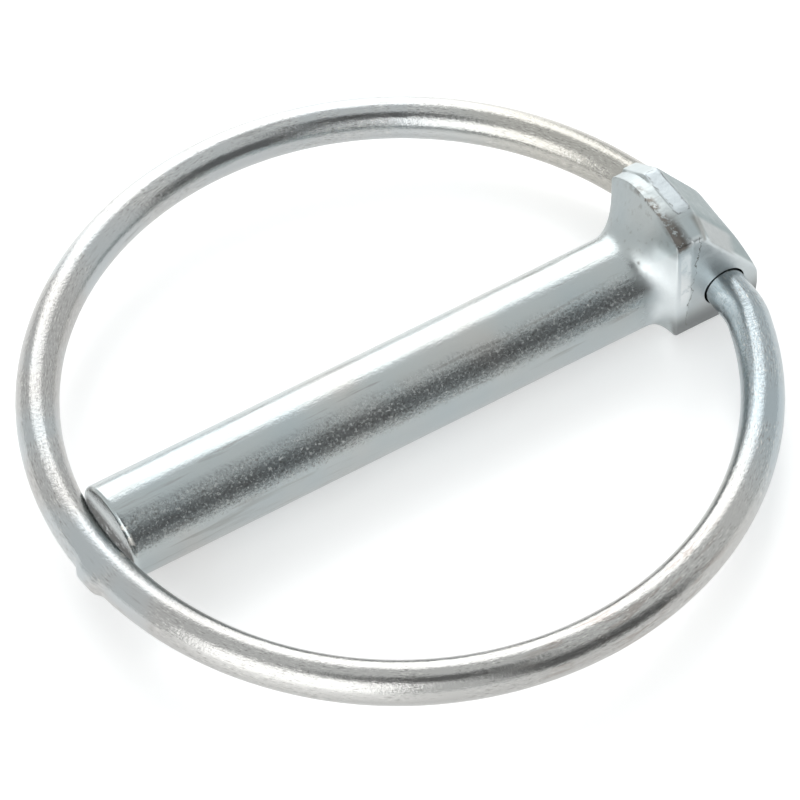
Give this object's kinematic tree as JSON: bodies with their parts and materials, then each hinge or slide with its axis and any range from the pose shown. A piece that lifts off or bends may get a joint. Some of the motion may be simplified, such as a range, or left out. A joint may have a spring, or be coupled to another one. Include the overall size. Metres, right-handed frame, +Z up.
{
  "type": "lynch pin",
  "caption": "Lynch pin: a forged steel pin with a humped, cross-bored head and a sprung wire ring that swings in the head and closes round the pin's tip to lock it.",
  "frame": {"origin": "on the shank's axis, where the straight shank meets the flare of the neck", "axes": "+X along the shank towards the tip, +Z up, with the hump of the head on top, +Y across the pin along the cross bore"},
  "size_m": [0.0601, 0.0594, 0.0122],
  "materials": {
    "plated_forging": "bright zinc plate over a forged surface, satin, with fine pits and a rougher band on the collar's rim",
    "plated_wire": "bright zinc plate over drawn spring wire, with fine streaks along the wire"
  },
  "bodies": {
    "pin": {"forged_pin": "plated_forging"},
    "ring": {"spring_ring": "plated_wire"}
  },
  "joints": [
    {"name": "ring_swing", "type": "hinge", "parent": "pin", "child": "ring", "pos_m": [-0.0074, 0, -0.0004], "axis": [0, -1, 0], "range_deg": [0, 180]}
  ]
}
